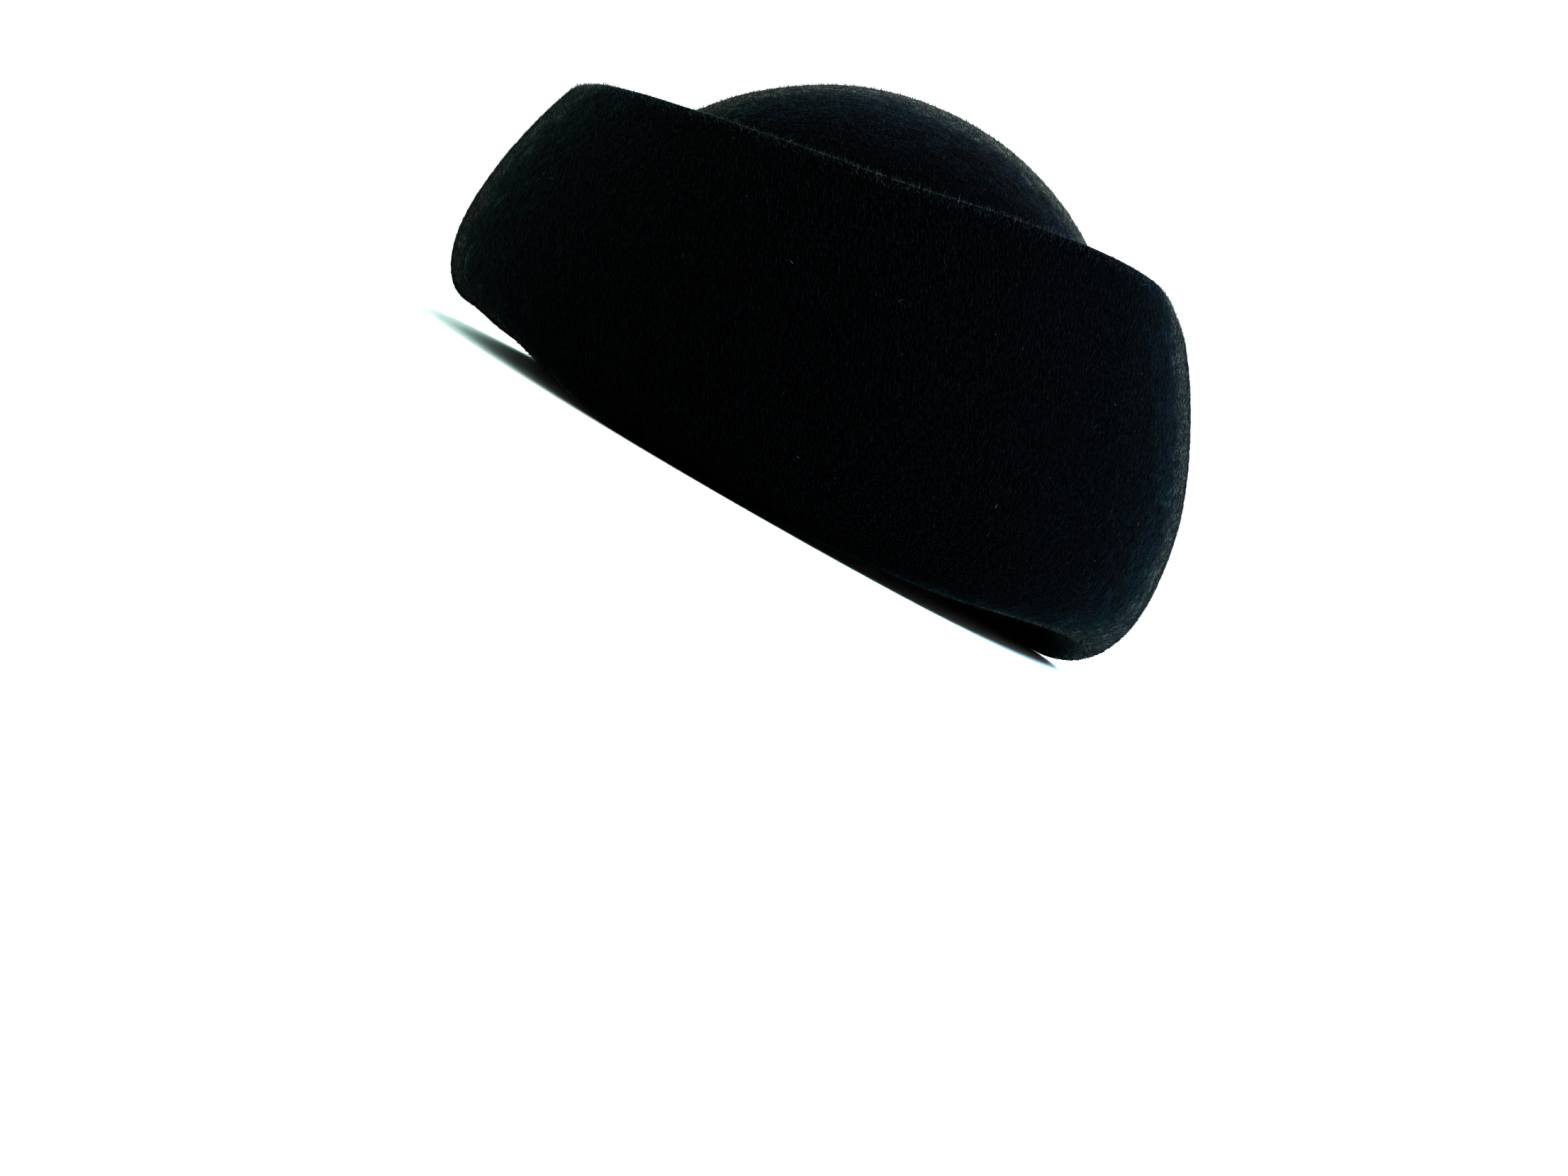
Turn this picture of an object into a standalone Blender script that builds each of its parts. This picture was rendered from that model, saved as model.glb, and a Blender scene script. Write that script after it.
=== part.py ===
"""A felt pillbox hat with a domed crown and a deep turned-up brim.

The hat is one piece of blocked felt. The crown comes down to the head opening, the felt rolls
outwards there in a soft fold, and the brim stands up round the crown as a cuff that leans in
towards its edge. The cuff is tallest at the wearer's left of the front and lowest behind. The
fold is arched over both temples and rests at the front and round the back.

Metres. X runs to the wearer's left, Y to the back of the head and Z up. The origin is the middle
of the head opening, on the surface that the hat rests on.
"""

import math
from collections import namedtuple

import bmesh
import bpy

# Head opening, measured between the inner faces of the felt.
OPENING_WIDTH = 0.170
OPENING_LENGTH = 0.190

# The felt and the crown. The dome springs from a short upright wall.
FELT_THICKNESS = 0.0022
HAT_HEIGHT = 0.117
SPRING_HEIGHT = 0.014

# The rolled fold, from the opening's wall to the widest face of the cuff.
FOLD_WIDTH = 0.022
FOLD_HEIGHT = 0.020
ARCH_RISE = 0.011
REST_PRESS = 0.0008

# The turned-up brim, at its highest edge and where that edge leans in most.
BRIM_HEIGHT = 0.099
BRIM_LEAN = 0.026
LEAN_POWER = 1.9

# Steps along the felt, and sections round the hat.
SECTIONS_ROUND = 60
DOME_STEPS = 12
FOLD_STEPS = 6
CUFF_STEPS = 8

FELT_COLOUR = (0.006, 0.0075, 0.009, 1.0)
FELT_ROUGHNESS = 0.95

# One row for each direction round the hat, counted from the wearer's left towards the back.
# rise is a share of ARCH_RISE, edge of BRIM_HEIGHT and lean of BRIM_LEAN.
Direction = namedtuple("Direction", "degrees rise edge lean")
DIRECTIONS = (
    Direction(0, 0.44, 0.870, 0.82),
    Direction(15, 0.09, 0.820, 0.67),
    Direction(30, 0.00, 0.765, 0.54),
    Direction(60, 0.00, 0.700, 0.39),
    Direction(90, 0.00, 0.670, 0.35),
    Direction(120, 0.00, 0.660, 0.35),
    Direction(150, 0.27, 0.690, 0.33),
    Direction(180, 0.72, 0.722, 0.32),
    Direction(195, 0.76, 0.728, 0.34),
    Direction(210, 0.78, 0.743, 0.37),
    Direction(225, 0.62, 0.762, 0.41),
    Direction(240, 0.24, 0.789, 0.46),
    Direction(252, 0.00, 0.818, 0.51),
    Direction(264, 0.00, 0.851, 0.56),
    Direction(285, 0.26, 0.935, 0.67),
    Direction(300, 0.50, 0.980, 0.79),
    Direction(315, 0.83, 0.998, 0.92),
    Direction(330, 0.98, 0.970, 1.00),
    Direction(345, 0.84, 0.925, 0.96),
)


def steady_slope(before, after):
    """Slope at a row, level where the values turn, so that nothing swings past a row."""
    if before * after <= 0:
        return 0.0
    return 2 * before * after / (before + after)


def round_the_hat(column, degrees):
    """Value of a table column in any direction, on a smooth closed curve through the rows."""
    count = len(DIRECTIONS)
    degrees %= 360
    index = max(i for i in range(count) if DIRECTIONS[i].degrees <= degrees)
    rows = [DIRECTIONS[(index + shift) % count] for shift in (-1, 0, 1, 2)]
    gaps = [(b.degrees - a.degrees) % 360 for a, b in zip(rows, rows[1:])]
    values = [getattr(row, column) for row in rows]
    rates = [(b - a) / gap for a, b, gap in zip(values, values[1:], gaps)]
    leaving = steady_slope(rates[0], rates[1]) * gaps[1]
    arriving = steady_slope(rates[1], rates[2]) * gaps[1]
    t = (degrees - rows[1].degrees) / gaps[1]
    return (
        values[1] * (1 + 2 * t) * (1 - t) ** 2
        + leaving * t * (1 - t) ** 2
        + values[2] * t * t * (3 - 2 * t)
        - arriving * t * t * (1 - t)
    )


def opening_radius(angle):
    """Distance from the hat's axis to the wall of the oval head opening."""
    across = OPENING_WIDTH / 2
    along = OPENING_LENGTH / 2
    return across * along / math.hypot(along * math.cos(angle), across * math.sin(angle))


def quarter(steps):
    """Sines and cosines of a quarter turn, without its first point."""
    turns = [math.pi / 2 * step / steps for step in range(1, steps + 1)]
    return [(math.sin(turn), math.cos(turn)) for turn in turns]


def felt_line(degrees):
    """Middle of the felt as (radius, height), from the top of the crown to the brim's edge."""
    half_felt = FELT_THICKNESS / 2
    opening = opening_radius(math.radians(degrees))
    rise = ARCH_RISE * round_the_hat("rise", degrees) - REST_PRESS
    wall = opening + half_felt
    widest = opening + FOLD_WIDTH - half_felt
    middle = (wall + widest) / 2
    half_fold = (widest - wall) / 2
    crown = HAT_HEIGHT - half_felt
    spring = rise + SPRING_HEIGHT
    bottom = rise + half_felt
    turn = rise + FOLD_HEIGHT
    edge = BRIM_HEIGHT * round_the_hat("edge", degrees) - half_felt
    lean = BRIM_LEAN * round_the_hat("lean", degrees)
    line = [(0.0, crown)]
    for sine, cosine in quarter(DOME_STEPS):
        line.append((wall * sine, spring + (crown - spring) * cosine))
    for sine, cosine in quarter(FOLD_STEPS):
        line.append((middle - half_fold * cosine, spring - (spring - bottom) * sine))
    for sine, cosine in quarter(FOLD_STEPS):
        line.append((middle + half_fold * sine, turn - (turn - bottom) * cosine))
    for step in range(1, CUFF_STEPS + 1):
        share = step / CUFF_STEPS
        line.append((widest - lean * share**LEAN_POWER, turn + (edge - turn) * share))
    return line


def normals(line):
    """Unit vectors square to the line: up at the crown, and towards the crown on the cuff."""
    found = [(0.0, 1.0)]
    for before, after in zip(line, line[2:] + line[-1:]):
        along, up = after[0] - before[0], after[1] - before[1]
        length = math.hypot(along, up)
        found.append((-up / length, along / length))
    return found


def felt_section(degrees):
    """Outline of the felt in one direction, from the crown's outside to its inside."""
    line = felt_line(degrees)
    square = normals(line)
    half_felt = FELT_THICKNESS / 2
    outside = [(r + half_felt * x, z + half_felt * y) for (r, z), (x, y) in zip(line, square)]
    inside = [(r - half_felt * x, z - half_felt * y) for (r, z), (x, y) in zip(line, square)]
    (end_r, end_z), (x, y) = line[-1], square[-1]
    rounded = (end_r + half_felt * y, end_z - half_felt * x)
    outline = outside + [rounded] + inside[::-1]
    angle = math.radians(degrees)
    return [(r * math.cos(angle), r * math.sin(angle), max(z, 0.0)) for r, z in outline]


def felt_material():
    """Black velour felt, dull and without any metal."""
    material = bpy.data.materials.new("velour_felt")
    material.use_nodes = True
    shader = material.node_tree.nodes["Principled BSDF"]
    shader.inputs["Base Color"].default_value = FELT_COLOUR
    shader.inputs["Roughness"].default_value = FELT_ROUGHNESS
    shader.inputs["Metallic"].default_value = 0.0
    return material


def felt_body():
    """The whole hat: neighbouring sections of felt bridged into one closed skin."""
    skin = bmesh.new()
    chains = []
    for index in range(SECTIONS_ROUND):
        points = felt_section(360 * index / SECTIONS_ROUND)
        corners = [skin.verts.new(point) for point in points]
        chains.append([skin.edges.new(pair) for pair in zip(corners, corners[1:])])
    for near, far in zip(chains, chains[1:] + chains[:1]):
        bmesh.ops.bridge_loops(skin, edges=near + far)
    bmesh.ops.remove_doubles(skin, verts=skin.verts, dist=FELT_THICKNESS / 100)
    bmesh.ops.recalc_face_normals(skin, faces=skin.faces)
    mesh = bpy.data.meshes.new("felt_body")
    skin.to_mesh(mesh)
    skin.free()
    mesh.shade_smooth()
    mesh.materials.append(felt_material())
    hat = bpy.data.objects.new("felt_body", mesh)
    bpy.context.scene.collection.objects.link(hat)
    return hat


def clear_scene():
    for thing in list(bpy.data.objects):
        bpy.data.objects.remove(thing)


clear_scene()
felt_body()
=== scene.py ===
import math
from collections import namedtuple

import bmesh
import bpy
from mathutils import Matrix, Vector, noise


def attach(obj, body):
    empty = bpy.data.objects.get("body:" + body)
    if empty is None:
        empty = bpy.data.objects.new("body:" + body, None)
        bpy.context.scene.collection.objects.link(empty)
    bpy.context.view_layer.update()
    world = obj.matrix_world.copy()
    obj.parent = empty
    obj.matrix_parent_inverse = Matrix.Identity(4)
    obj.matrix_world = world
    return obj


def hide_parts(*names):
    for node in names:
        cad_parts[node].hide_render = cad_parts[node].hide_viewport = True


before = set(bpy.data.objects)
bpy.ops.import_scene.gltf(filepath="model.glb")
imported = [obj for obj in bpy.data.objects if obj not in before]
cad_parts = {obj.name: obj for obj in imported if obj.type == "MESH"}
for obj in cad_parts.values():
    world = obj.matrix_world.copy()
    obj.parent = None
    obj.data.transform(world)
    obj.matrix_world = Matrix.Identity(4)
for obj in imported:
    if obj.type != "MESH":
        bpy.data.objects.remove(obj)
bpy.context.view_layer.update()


# The camera. The hat is seen from just above the surface that it rests on, tipped in the picture
# as a hat is when it is worn on one side.
PICTURE_SIZE = Vector((2212, 1659))
HAT_PIXEL = Vector((1133, 590))
METRES_PER_PIXEL = 0.000196
CAMERA_DISTANCE = 0.700
CAMERA_HEIGHT = 0.025
TIP_ANGLE = math.radians(30)
SENSOR_WIDTH = 36.0

focal_pixels = CAMERA_DISTANCE / METRES_PER_PIXEL
towards_hat = Vector((
    HAT_PIXEL.x - PICTURE_SIZE.x / 2,
    PICTURE_SIZE.y / 2 - HAT_PIXEL.y,
    -focal_pixels,
)).normalized()
level = towards_hat.cross(Vector((0, 1, 0))).normalized()
upright = level.cross(towards_hat)
hat_right = level * math.cos(TIP_ANGLE) - upright * math.sin(TIP_ANGLE)
hat_up = level * math.sin(TIP_ANGLE) + upright * math.cos(TIP_ANGLE)
turned = Matrix((hat_right, towards_hat, hat_up)).to_4x4()

lens = bpy.data.cameras.new("hat_camera")
lens.sensor_width = SENSOR_WIDTH
lens.lens = SENSOR_WIDTH * focal_pixels / PICTURE_SIZE.x
lens.clip_start = 0.01
camera = bpy.data.objects.new("hat_camera", lens)
camera.matrix_world = Matrix.Translation((0, -CAMERA_DISTANCE, CAMERA_HEIGHT)) @ turned
bpy.context.scene.collection.objects.link(camera)
bpy.context.scene.camera = camera


# The table is a round white sweep: a flat floor whose rim curves up into a wall, without a line
# where they meet. It is matt card.
FLOOR_RADIUS = 1.6
SWEEP_RADIUS = 1.0
WALL_HEIGHT = 2.8
SWEEP_STEPS = 10
ROUND_STEPS = 96
SWEEP_WELD = 0.0001
CARD_WHITE = (0.92, 0.92, 0.92, 1)


def studio_card():
    """Matt white card."""
    card = bpy.data.materials.new("studio_card")
    card.use_nodes = True
    shader = card.node_tree.nodes["Principled BSDF"]
    shader.inputs["Base Color"].default_value = CARD_WHITE
    shader.inputs["Roughness"].default_value = 0.9
    shader.inputs["Specular IOR Level"].default_value = 0.1
    return card


def link_piece(name, skin, material):
    """Turns a finished bmesh into an object with one material."""
    mesh = bpy.data.meshes.new(name)
    skin.to_mesh(mesh)
    skin.free()
    mesh.materials.append(material)
    mesh.shade_smooth()
    piece = bpy.data.objects.new(name, mesh)
    bpy.context.scene.collection.objects.link(piece)
    return piece


def studio_sweep():
    """Floor, curve and wall as one line, spun round the middle."""
    skin = bmesh.new()
    rim = [Vector((0, 0, 0)), Vector((FLOOR_RADIUS, 0, 0))]
    for step in range(1, SWEEP_STEPS + 1):
        turn = math.pi / 2 * step / SWEEP_STEPS
        rim.append(Vector((FLOOR_RADIUS + SWEEP_RADIUS * math.sin(turn), 0,
                           SWEEP_RADIUS * (1 - math.cos(turn)))))
    rim.append(Vector((FLOOR_RADIUS + SWEEP_RADIUS, 0, WALL_HEIGHT)))
    corners = [skin.verts.new(place) for place in rim]
    edges = [skin.edges.new(pair) for pair in zip(corners, corners[1:])]
    bmesh.ops.spin(skin, geom=corners + edges, cent=(0, 0, 0), axis=(0, 0, 1),
                   angle=math.tau, steps=ROUND_STEPS, use_merge=True)
    bmesh.ops.remove_doubles(skin, verts=skin.verts, dist=SWEEP_WELD)
    bmesh.ops.recalc_face_normals(skin, faces=skin.faces)
    bmesh.ops.reverse_faces(skin, faces=skin.faces)
    return link_piece("studio_sweep", skin, studio_card())


studio_sweep()


# Soft light: a broad box over the hat, a small cool one close to its upper right and a larger
# one at its left side. A warm one behind it picks out the pile along the crown.
SoftBox = namedtuple("SoftBox", "name place size watts colour")
SOFT_BOXES = (
    SoftBox("light_above", (0.1, 0.1, 1.5), (1.2, 1.2), 14, (1, 1, 1)),
    SoftBox("light_right", (0.36, -0.15, 0.36), (0.25, 0.25), 4.9, (0.54, 0.84, 1.0)),
    SoftBox("light_left", (-1.05, 0.3, 0.65), (0.7, 0.9), 7, (0.55, 1.0, 0.88)),
    SoftBox("light_behind", (0.35, 1.1, 0.9), (0.7, 0.7), 9, (1.0, 0.97, 0.92)),
)
LIT_POINT = Vector((0, 0, 0.06))
ROOM_WHITE = (1, 1, 1, 1)
ROOM_STRENGTH = 0.85

for box in SOFT_BOXES:
    light = bpy.data.lights.new(box.name, "AREA")
    light.shape = "RECTANGLE"
    light.size, light.size_y = box.size
    light.energy = box.watts
    light.color = box.colour
    lamp = bpy.data.objects.new(box.name, light)
    lamp.location = box.place
    lamp.visible_camera = False
    lamp.rotation_euler = (LIT_POINT - Vector(box.place)).to_track_quat("-Z", "Y").to_euler()
    bpy.context.scene.collection.objects.link(lamp)

world = bpy.data.worlds.new("studio")
world.use_nodes = True
room = world.node_tree.nodes["Background"]
room.inputs["Color"].default_value = ROOM_WHITE
room.inputs["Strength"].default_value = ROOM_STRENGTH
bpy.context.scene.world = world
bpy.context.scene.view_settings.view_transform = "Standard"
bpy.context.scene.view_settings.look = "Very High Contrast"


# The hat is one piece of fur felt, blocked over a form and brushed to a short velour. The crown,
# the rolled fold and the turned-up brim run into each other without a seam.
WELD = 0.000002
QUAD_ANGLE = math.radians(50)
QUAD_SHAPE = math.radians(70)
SMOOTH_LEVELS = 2
UNEVENNESS = 0.00035
UNEVEN_LENGTH = 0.035
RIPPLE = 0.00012
RIPPLE_LENGTH = 0.009
SWELLS_TOWARDS = Vector((0, 0, 0.5))
NAP_LIES = Vector((-0.5, 0.0, 0.87))
# The deepest colour is the felt's own near-black. The teal and navy colours are painted sheen: base
# colour that shows only where the felt turns edge-on to the view. Navy leans towards +X and the top
# as painted light from the cool lamp on that side. The sheen tint colours the shader's own sheen.
PAINTED_LIGHT_SIDE = Vector((1.5, 0, 3))
FELT_DEEP = (0.0005, 0.0009, 0.0017, 1)
FELT_PAINTED_TEAL_SHEEN = (0.0024, 0.0140, 0.0132, 1)
FELT_PAINTED_NAVY_SHEEN = (0.0026, 0.0062, 0.0120, 1)
# The grey rim colour is a painted highlight, shown only at the very edge where the felt turns fully
# edge-on.
FELT_PAINTED_RIM = (0.050, 0.047, 0.039, 1)
FELT_SHEEN = (0.55, 0.78, 0.85, 1)

# Noise scales of the felt's grain: strands, curls, clumps of pile, mottling and patches of the
# painted sheen's teal and navy tint.
STRAND_GRAIN = 1700
STRAND_STRETCH = (1, 1, 0.16)
CURL_GRAIN = 560
CURL_TWIST = 2.0
CLUMP_GRAIN = 300
MOTTLE_GRAIN = 170
SHEEN_TINT_GRAIN = 80

# Where each look takes over from the one before, as the mask's lower and upper value.
# The first three rows and the two mottling shares below set where the painted sheen's teal and navy
# and its painted grey rim show as the felt turns edge-on.
SHEEN_NAVY_TAKES_OVER = (0.60, 0.85)
PAINTED_SHEEN_TAKES_OVER = (0.92, 1.34)
PAINTED_RIM_TAKES_OVER = (0.86, 1.10)
STRANDS_SHOW = (0.42, 0.70)
CURLS_SHOW = (0.42, 0.60)
PAINTED_SHEEN_MOTTLING = 0.9
PAINTED_RIM_MOTTLING = 0.3
STRAND_GAIN = (1.8, 0.3)
CURL_GAIN = (1.7, 0.2)
CLUMP_HEIGHT = 0.0010
STRAND_HEIGHT = 0.0004


def wired(tree, kind, inputs, **settings):
    """Adds a node with its settings. Each input takes a value or another node's output."""
    node = tree.nodes.new(kind)
    for name, value in settings.items():
        setattr(node, name, value)
    for name, value in inputs.items():
        if isinstance(value, bpy.types.NodeSocket):
            tree.links.new(value, node.inputs[name])
        else:
            node.inputs[name].default_value = value
    return node


def velour_felt():
    """Black felt with painted sheen: its colour turns teal, navy and a grey rim only where it turns
    edge-on.
    """
    felt = bpy.data.materials.new("velour_felt")
    felt.use_nodes = True
    tree = felt.node_tree
    shader = tree.nodes["Principled BSDF"]
    place = tree.nodes.new("ShaderNodeTexCoord").outputs["Object"]
    along_nap = wired(tree, "ShaderNodeMapping", {
        "Vector": place,
        "Rotation": NAP_LIES.rotation_difference(Vector((0, 0, 1))).to_euler(),
        "Scale": STRAND_STRETCH,
    }).outputs["Vector"]

    def grain(scale, detail, vector, distortion=0):
        return wired(tree, "ShaderNodeTexNoise", {
            "Vector": vector, "Scale": scale, "Detail": detail, "Roughness": 0.6,
            "Distortion": distortion,
        }).outputs["Fac"]

    def mask(value, limits):
        return wired(tree, "ShaderNodeMapRange", {
            "Value": value, "From Min": limits[0], "From Max": limits[1],
        }, interpolation_type="SMOOTHSTEP").outputs["Result"]

    def mixed(share, first, second):
        return wired(tree, "ShaderNodeMix", {
            "Factor": share, "A": first, "B": second,
        }, data_type="RGBA").outputs["Result"]

    def math_node(operation, *values):
        inputs = dict(enumerate(values))
        return wired(tree, "ShaderNodeMath", inputs, operation=operation).outputs["Value"]

    streaks = grain(STRAND_GRAIN, 3, along_nap)
    mottling = grain(MOTTLE_GRAIN, 3, place)
    curling = grain(CURL_GRAIN, 4, place, CURL_TWIST)
    # Painted sheen: the base colour turns teal or navy where the felt turns edge-on to the view,
    # navy towards the side the cool lamp lights, and grey at the very edge as a painted highlight.
    edge_on = wired(tree, "ShaderNodeLayerWeight", {"Blend": 0.5}).outputs["Facing"]
    lean_to_lit_side = wired(tree, "ShaderNodeVectorMath", {0: place, 1: PAINTED_LIGHT_SIDE},
                    operation="DOT_PRODUCT").outputs["Value"]
    sheen_tint_tone = math_node("ADD", grain(SHEEN_TINT_GRAIN, 3, place), lean_to_lit_side)
    painted_sheen_tint = mixed(mask(sheen_tint_tone, SHEEN_NAVY_TAKES_OVER), FELT_PAINTED_TEAL_SHEEN, FELT_PAINTED_NAVY_SHEEN)
    painted_sheen_mask = math_node("MULTIPLY_ADD", mottling, PAINTED_SHEEN_MOTTLING, edge_on)
    depth = mixed(mask(painted_sheen_mask, PAINTED_SHEEN_TAKES_OVER), FELT_DEEP, painted_sheen_tint)
    rim = math_node("MULTIPLY_ADD", mottling, PAINTED_RIM_MOTTLING, edge_on)
    depth = mixed(mask(rim, PAINTED_RIM_TAKES_OVER), depth, FELT_PAINTED_RIM)
    strand_gain = math_node("MULTIPLY_ADD", mask(streaks, STRANDS_SHOW), *STRAND_GAIN)
    curl_gain = math_node("MULTIPLY_ADD", mask(curling, CURLS_SHOW), *CURL_GAIN)
    stranded = wired(tree, "ShaderNodeVectorMath", {
        0: depth, "Scale": math_node("MULTIPLY", strand_gain, curl_gain),
    }, operation="SCALE").outputs["Vector"]
    tree.links.new(stranded, shader.inputs["Base Color"])

    clumps = wired(tree, "ShaderNodeBump", {
        "Strength": 0.7, "Distance": CLUMP_HEIGHT, "Height": grain(CLUMP_GRAIN, 4, place),
    }).outputs["Normal"]
    strands = wired(tree, "ShaderNodeBump", {
        "Strength": 1.0, "Distance": STRAND_HEIGHT, "Height": streaks, "Normal": clumps,
    }).outputs["Normal"]
    tree.links.new(strands, shader.inputs["Normal"])
    shader.inputs["Roughness"].default_value = 0.95
    shader.inputs["Specular IOR Level"].default_value = 0.04
    shader.inputs["Sheen Weight"].default_value = 0.05
    shader.inputs["Sheen Roughness"].default_value = 0.18
    shader.inputs["Sheen Tint"].default_value = FELT_SHEEN
    return felt


def finished_copy(rough, name):
    """The mesh of an object with its modifiers applied, as a new object in its place."""
    evaluated = rough.evaluated_get(bpy.context.evaluated_depsgraph_get())
    mesh = bpy.data.meshes.new_from_object(evaluated)
    mesh.name = name
    bpy.data.objects.remove(rough)
    finished = bpy.data.objects.new(name, mesh)
    bpy.context.scene.collection.objects.link(finished)
    return finished


def blocked_felt():
    """The solid's skin, smoothed and made a little uneven as blocked felt is."""
    skin = bmesh.new()
    skin.from_mesh(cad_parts["felt_body"].data)
    bmesh.ops.remove_doubles(skin, verts=skin.verts, dist=WELD)
    bmesh.ops.join_triangles(skin, faces=skin.faces, angle_face_threshold=QUAD_ANGLE,
                             angle_shape_threshold=QUAD_SHAPE)
    for layer in list(skin.loops.layers.uv.values()):
        skin.loops.layers.uv.remove(layer)
    rough = link_piece("blocked_felt_block", skin, velour_felt())
    smooth = rough.modifiers.new("smooth", "SUBSURF")
    smooth.levels = smooth.render_levels = SMOOTH_LEVELS
    felt = finished_copy(rough, "blocked_felt")
    for corner in felt.data.vertices:
        swell = noise.noise(corner.co / UNEVEN_LENGTH)
        ripple = noise.noise(corner.co / RIPPLE_LENGTH)
        outwards = Vector((corner.co.x, corner.co.y, 0)).normalized()
        corner.co += (outwards + SWELLS_TOWARDS) * (UNEVENNESS * swell + RIPPLE * ripple)
        corner.co.z = max(corner.co.z, 0.0)
    felt.data.shade_smooth()
    return felt


felt = blocked_felt()
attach(felt, "root")
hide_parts("felt_body")


# The nap is the brushed surface of the felt: short fibres of the felt itself that lie mostly one
# way and stand a little off it. These are the fibres of the crown, sparse low in the channel.
# The half sizes are of the crown's dome over its upright wall, and tell it from the brim.
CROWN_HALF_SIZE = Vector((0.0861, 0.0961, 0.0960))
CROWN_SPRINGS = 0.020
CROWN_SHELL = 1.06
CROWN_SHOWS = 0.055
CROWN_LOW_SHARE = 0.25
HAT_MIDDLE = Vector((0, 0, 0.040))
EDGE_COLUMNS = 120
EDGE_BAND = 0.0024
SIDE_BLEND = 0.060
NAP_CLEAR_OF_FLOOR = 0.003
FIBRE_RADIUS = 0.000045
FIBRE_SIDES = 3

# One row for each shape of fibre: its length, and how far its tip bends aside.
Fibre = namedtuple("Fibre", "length bend")
NAP_SHAPES = (Fibre(0.0009, 0), Fibre(0.0012, 0), Fibre(0.0016, 0))

# The bake's layout: fibres of one shade share a column, and none touches the picture's edge.
BAKE_SHADE_SHARE = 0.02
BAKE_SPAN = (0.96, 0.96, 0)
BAKE_START = (0.01, 0.02, 0)

SHADE_POWER = 4.0
NAP_DARK = (0.0005, 0.0015, 0.0023, 1)
NAP_LIGHT = (0.007, 0.019, 0.027, 1)
CROWN_DARK = (0.0009, 0.0022, 0.0028, 1)
CROWN_LIGHT = (0.026, 0.042, 0.046, 1)


def nap_regions(mesh):
    """Marks where each kind of fibre grows, as one attribute of the felt for each."""
    names = ("crown", "brim_left", "brim_right", "brim_back", "inside", "edge", "lint")
    marks = {name: [0.0] * len(mesh.vertices) for name in names}
    edge_heights = {}
    shells = []
    for corner in mesh.vertices:
        place = corner.co
        above = max(place.z - CROWN_SPRINGS, 0) / CROWN_HALF_SIZE.z
        size = math.hypot(place.x / CROWN_HALF_SIZE.x, place.y / CROWN_HALF_SIZE.y, above)
        column = round(math.atan2(place.y, place.x) / math.tau * EDGE_COLUMNS) % EDGE_COLUMNS
        if size > CROWN_SHELL:
            edge_heights[column] = max(edge_heights.get(column, 0), place.z)
        shells.append((size, column))
    for index, (size, column) in enumerate(shells):
        place = mesh.vertices[index].co
        if place.z < NAP_CLEAR_OF_FLOOR:
            continue
        faces_out = mesh.vertex_normals[index].vector.dot(place - HAT_MIDDLE) > 0
        marks["lint"][index] = float(faces_out)
        if size > CROWN_SHELL and place.z > edge_heights[column] - EDGE_BAND:
            marks["edge"][index] = 1.0
        elif not faces_out:
            marks["inside"][index] = 1.0
        elif size < CROWN_SHELL:
            marks["crown"][index] = 1.0 if place.z > CROWN_SHOWS else CROWN_LOW_SHARE
        else:
            behind = min(max(0.5 + place.y / SIDE_BLEND, 0), 1)
            marks["brim_back"][index] = behind
            marks["brim_left" if place.x > 0 else "brim_right"][index] = 1 - behind
    for name, values in marks.items():
        mesh.attributes.new(name, "FLOAT", "POINT").data.foreach_set("value", values)


def fibre_shapes(name, shapes, radius, cuts):
    """A few tapered fibres along Z, kept as instances in a collection."""
    shelf = bpy.data.collections.new(name)
    for length, bend in shapes:
        skin = bmesh.new()
        bmesh.ops.create_cone(skin, cap_ends=True, cap_tris=False, segments=FIBRE_SIDES,
                              radius1=radius, radius2=0, depth=length,
                              matrix=Matrix.Translation((0, 0, length / 2)))
        for cut in range(1, cuts + 1):
            whole = list(skin.verts) + list(skin.edges) + list(skin.faces)
            bmesh.ops.bisect_plane(skin, geom=whole, plane_co=(0, 0, length * cut / (cuts + 1)),
                                   plane_no=(0, 0, 1))
        bmesh.ops.remove_doubles(skin, verts=skin.verts, dist=radius / 100)
        mesh = bpy.data.meshes.new(name)
        skin.to_mesh(mesh)
        skin.free()
        along = [corner.co.z / length for corner in mesh.vertices]
        across = [math.atan2(corner.co.y, corner.co.x) / math.tau + 0.5 for corner in mesh.vertices]
        for corner, share in zip(mesh.vertices, along):
            corner.co.x += bend * share * share
        mesh.attributes.new("along", "FLOAT", "POINT").data.foreach_set("value", along)
        mesh.attributes.new("across", "FLOAT", "POINT").data.foreach_set("value", across)
        mesh.shade_smooth()
        shelf.objects.link(bpy.data.objects.new(name, mesh))
    return shelf


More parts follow.
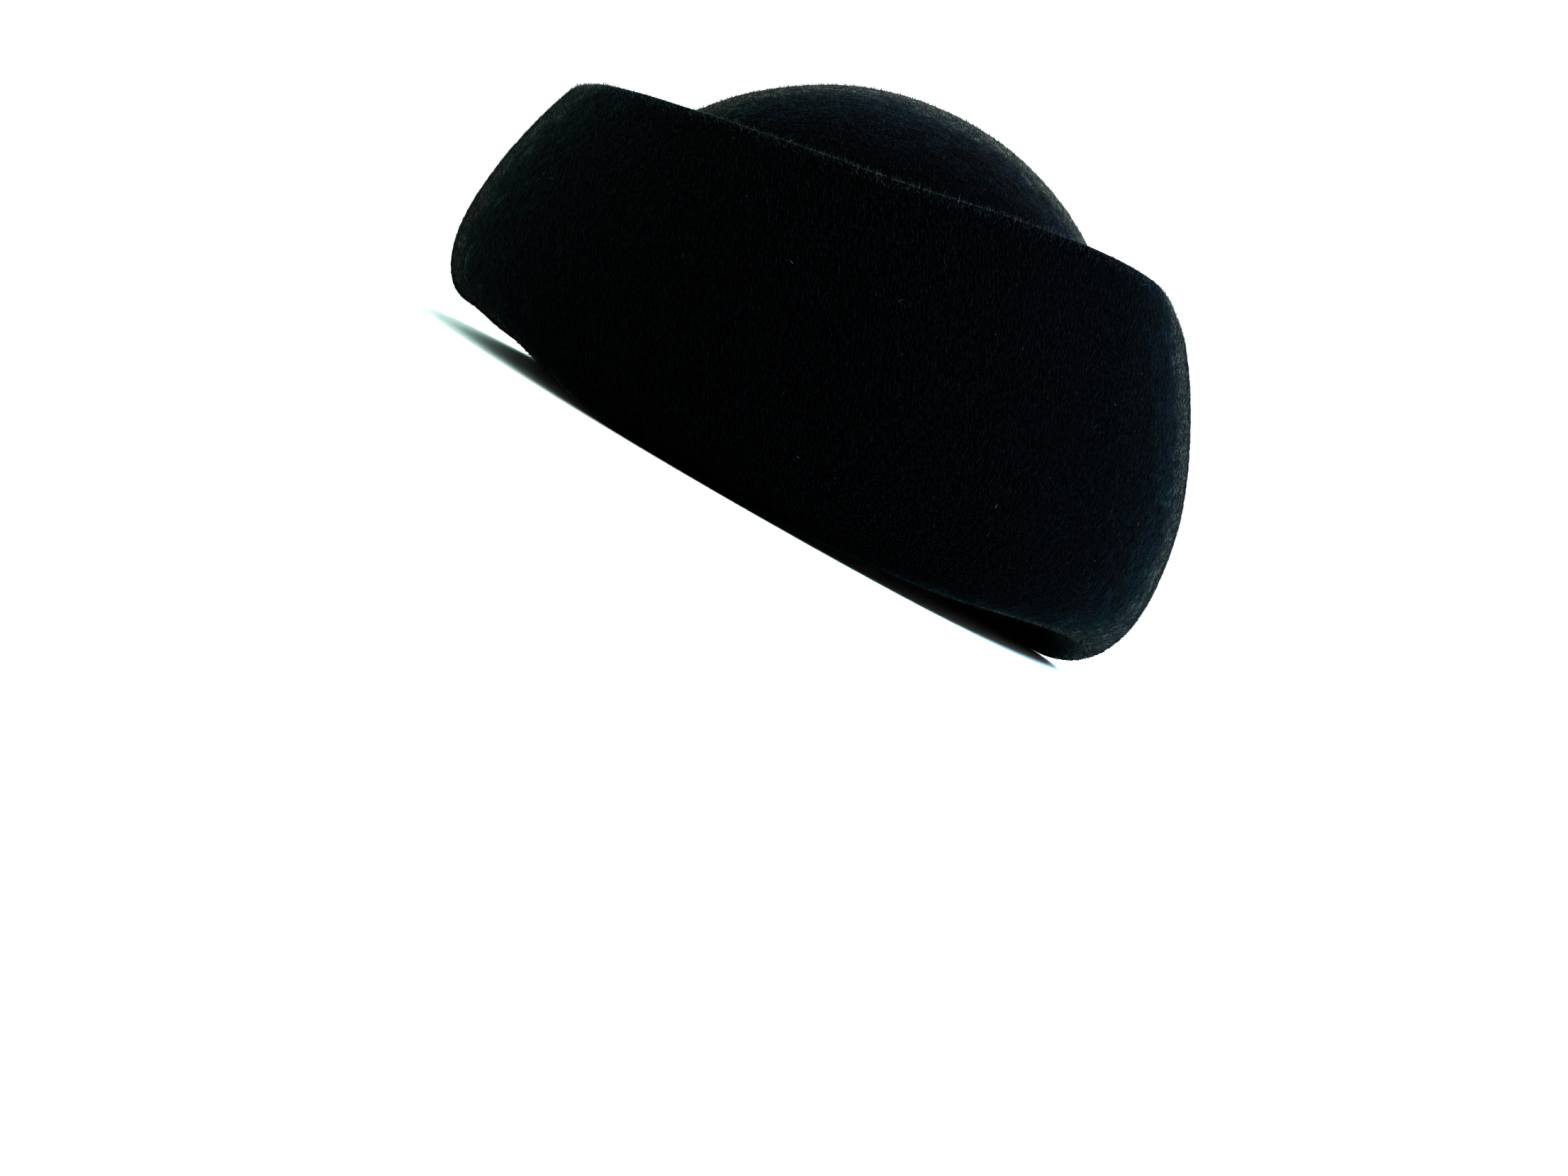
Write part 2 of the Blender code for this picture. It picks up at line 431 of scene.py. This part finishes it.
def growing(name, region, shelf, material, density, lift, spread, size, seed):
    """Sows fibres over a region of the felt, so many a square metre, and joins them.

    They lie along the nap, stand off the felt by lift and stray from that by spread. size is the
    range of their scale.
    """
    tree = bpy.data.node_groups.new(name, "GeometryNodeTree")
    tree.interface.new_socket("Geometry", in_out="INPUT", socket_type="NodeSocketGeometry")
    tree.interface.new_socket("Geometry", in_out="OUTPUT", socket_type="NodeSocketGeometry")

    def vector_math(operation, first, second):
        return wired(tree, "ShaderNodeVectorMath", {0: first, 1: second},
                     operation=operation).outputs["Vector"]

    def chance(kind, low, high, number):
        return wired(tree, "FunctionNodeRandomValue", {
            "Min": low, "Max": high, "Seed": seed + number,
        }, data_type=kind).outputs["Value"]

    def stored(value):
        return wired(tree, "GeometryNodeInputNamedAttribute", {"Name": value},
                     data_type="FLOAT").outputs["Attribute"]

    ground = tree.nodes.new("NodeGroupInput").outputs["Geometry"]
    thickness = wired(tree, "ShaderNodeMath", {0: stored(region), 1: density},
                      operation="MULTIPLY").outputs["Value"]
    roots = wired(tree, "GeometryNodeDistributePointsOnFaces",
                  {"Mesh": ground, "Density": thickness, "Seed": seed})
    normal = roots.outputs["Normal"]
    flat = vector_math("SUBTRACT", NAP_LIES, vector_math("PROJECT", NAP_LIES, normal))
    stand = wired(tree, "ShaderNodeVectorMath", {0: normal, "Scale": lift},
                  operation="SCALE").outputs["Vector"]
    astray = chance("FLOAT_VECTOR", (-spread,) * 3, (spread,) * 3, 1)
    way = vector_math("ADD", vector_math("ADD", flat, stand), astray)
    turned = wired(tree, "FunctionNodeAlignRotationToVector", {"Vector": way}, axis="Z")
    rolled = wired(tree, "FunctionNodeAxisAngleToRotation", {
        "Axis": (0, 0, 1), "Angle": chance("FLOAT", 0.0, math.tau, 2),
    }).outputs["Rotation"]
    pose = wired(tree, "FunctionNodeRotateRotation", {
        "Rotation": turned.outputs["Rotation"], "Rotate By": rolled,
    }, rotation_space="LOCAL").outputs["Rotation"]
    shapes = wired(tree, "GeometryNodeCollectionInfo", {
        "Collection": shelf, "Separate Children": True, "Reset Children": True,
    }).outputs["Instances"]
    fibres = wired(tree, "GeometryNodeInstanceOnPoints", {
        "Points": roots.outputs["Points"], "Instance": shapes, "Pick Instance": True,
        "Rotation": pose, "Scale": chance("FLOAT", size[0], size[1], 3),
    }).outputs["Instances"]
    shaded = wired(tree, "GeometryNodeStoreNamedAttribute", {
        "Geometry": fibres, "Name": "shade", "Value": chance("FLOAT", 0.0, 1.0, 4),
    }, data_type="FLOAT", domain="INSTANCE").outputs["Geometry"]
    joined = wired(tree, "GeometryNodeRealizeInstances", {"Geometry": shaded}).outputs["Geometry"]
    column = wired(tree, "ShaderNodeMath", {
        0: stored("across"), 1: BAKE_SHADE_SHARE, 2: stored("shade"),
    }, operation="MULTIPLY_ADD").outputs["Value"]
    spot = wired(tree, "ShaderNodeCombineXYZ", {"X": column, "Y": stored("along")})
    spot = wired(tree, "ShaderNodeVectorMath", {
        0: spot.outputs["Vector"], 1: BAKE_SPAN, 2: BAKE_START,
    }, operation="MULTIPLY_ADD").outputs["Vector"]
    mapped = wired(tree, "GeometryNodeStoreNamedAttribute", {
        "Geometry": joined, "Name": "OFBake", "Value": spot,
    }, data_type="FLOAT2", domain="CORNER").outputs["Geometry"]
    tree.links.new(mapped, tree.nodes.new("NodeGroupOutput").inputs["Geometry"])

    rough = bpy.data.objects.new(name, felt.data.copy())
    bpy.context.scene.collection.objects.link(rough)
    rough.modifiers.new(name, "NODES").node_group = tree
    fibres = finished_copy(rough, name)
    fibres.data.materials.clear()
    fibres.data.materials.append(material)
    return fibres


def fibre_material(name, dark, light, sheen):
    """Fibre colour, spread from fibre to fibre with few of the light ones."""
    fibre = bpy.data.materials.new(name)
    fibre.use_nodes = True
    tree = fibre.node_tree
    shader = tree.nodes["Principled BSDF"]
    shade = wired(tree, "ShaderNodeAttribute", {}, attribute_name="shade").outputs["Fac"]
    few = wired(tree, "ShaderNodeMath", {0: shade, 1: SHADE_POWER},
                operation="POWER").outputs["Value"]
    colour = wired(tree, "ShaderNodeMix", {"Factor": few, "A": dark, "B": light},
                   data_type="RGBA").outputs["Result"]
    tree.links.new(colour, shader.inputs["Base Color"])
    shader.inputs["Roughness"].default_value = 0.6
    shader.inputs["Specular IOR Level"].default_value = 0.1
    shader.inputs["Sheen Weight"].default_value = sheen
    return fibre


nap_regions(felt.data)
nap_fibre = fibre_material("nap_fibre", NAP_DARK, NAP_LIGHT, sheen=0.03)
nap_shelf = fibre_shapes("nap_fibre", NAP_SHAPES, FIBRE_RADIUS, cuts=0)
crown_fibre = fibre_material("crown_fibre", CROWN_DARK, CROWN_LIGHT, sheen=0.03)

crown_nap = growing("crown_nap", "crown", nap_shelf, crown_fibre, density=1000000, lift=0.32,
                    spread=0.60, size=(0.7, 1.25), seed=11)
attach(crown_nap, "root")


# The nap on the brim's outer face at the wearer's left of the front: fibres of the felt, brushed
# flatter than the crown's and denser.
BRIM_LIFT = 0.26
BRIM_SPREAD = 0.30
BRIM_SIZE = (0.7, 1.25)
FRONT_DENSITY = 2900000
BACK_DENSITY = 2000000

brim_nap_left = growing("brim_nap_left", "brim_left", nap_shelf, nap_fibre, FRONT_DENSITY,
                        BRIM_LIFT, BRIM_SPREAD, BRIM_SIZE, seed=23)
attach(brim_nap_left, "root")


# The nap on the brim's outer face at the wearer's right of the front: the same fibres of the
# felt, brushed the same way.
brim_nap_right = growing("brim_nap_right", "brim_right", nap_shelf, nap_fibre, FRONT_DENSITY,
                         BRIM_LIFT, BRIM_SPREAD, BRIM_SIZE, seed=29)
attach(brim_nap_right, "root")


# The nap on the back half of the brim's outer face: the same fibres of the felt, sown thinner.
# It fades into the two front parts at the sides.
brim_nap_back = growing("brim_nap_back", "brim_back", nap_shelf, nap_fibre, BACK_DENSITY,
                        BRIM_LIFT, BRIM_SPREAD, BRIM_SIZE, seed=37)
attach(brim_nap_back, "root")


# The nap inside the hat and on the inner face of the turned-up brim: thinner and shorter fibres
# of the felt, left as the block pressed them.
inner_nap = growing("inner_nap", "inside", nap_shelf, nap_fibre, density=100000, lift=0.25,
                    spread=0.50, size=(0.5, 0.9), seed=41)
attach(inner_nap, "root")


# The brim's edge is cut and left raw, without a binding. Loose fibres of the felt stand out of
# the cut as a fuzzy line, coloured paler than the rest of the nap as a painted highlight.
FUZZ_SHAPES = (Fibre(0.0011, 0.00040), Fibre(0.0009, -0.00035), Fibre(0.0016, 0.00090))
# Both fuzz colours are painted far paler than the nap's own, a painted highlight along the cut
# edge. The few lightest fibres vary at random.
FUZZ_DARK_PAINTED_LIT = (0.006, 0.014, 0.016, 1)
FUZZ_LIGHT_PAINTED_LIT = (0.080, 0.120, 0.122, 1)

fuzz_fibre = fibre_material("fuzz_fibre", FUZZ_DARK_PAINTED_LIT, FUZZ_LIGHT_PAINTED_LIT, sheen=0.1)
fuzz_shelf = fibre_shapes("fuzz_fibre", FUZZ_SHAPES, FIBRE_RADIUS, cuts=1)
edge_fuzz = growing("edge_fuzz", "edge", fuzz_shelf, fuzz_fibre, density=2700000, lift=0.6,
                    spread=0.80, size=(0.6, 1.3), seed=53)
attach(edge_fuzz, "root")


# Dust and lint are caught in the nap: pale specks of cotton, and a few long curled hairs. They
# lie loose on the felt in any direction.
SPECK_SHAPES = (Fibre(0.0005, 0.00020), Fibre(0.0008, -0.00040), Fibre(0.0011, 0.00070),
                Fibre(0.0028, 0.00170))
LINT_RADIUS = 0.00004
LINT_DARK = (0.03, 0.04, 0.045, 1)
LINT_LIGHT = (0.42, 0.45, 0.45, 1)

lint_fibre = fibre_material("lint_fibre", LINT_DARK, LINT_LIGHT, sheen=0.0)
lint_shelf = fibre_shapes("lint_fibre", SPECK_SHAPES, LINT_RADIUS, cuts=4)
lint = growing("lint", "lint", lint_shelf, lint_fibre, density=9000, lift=0.10, spread=1.20,
               size=(0.6, 1.2), seed=67)
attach(lint, "root")
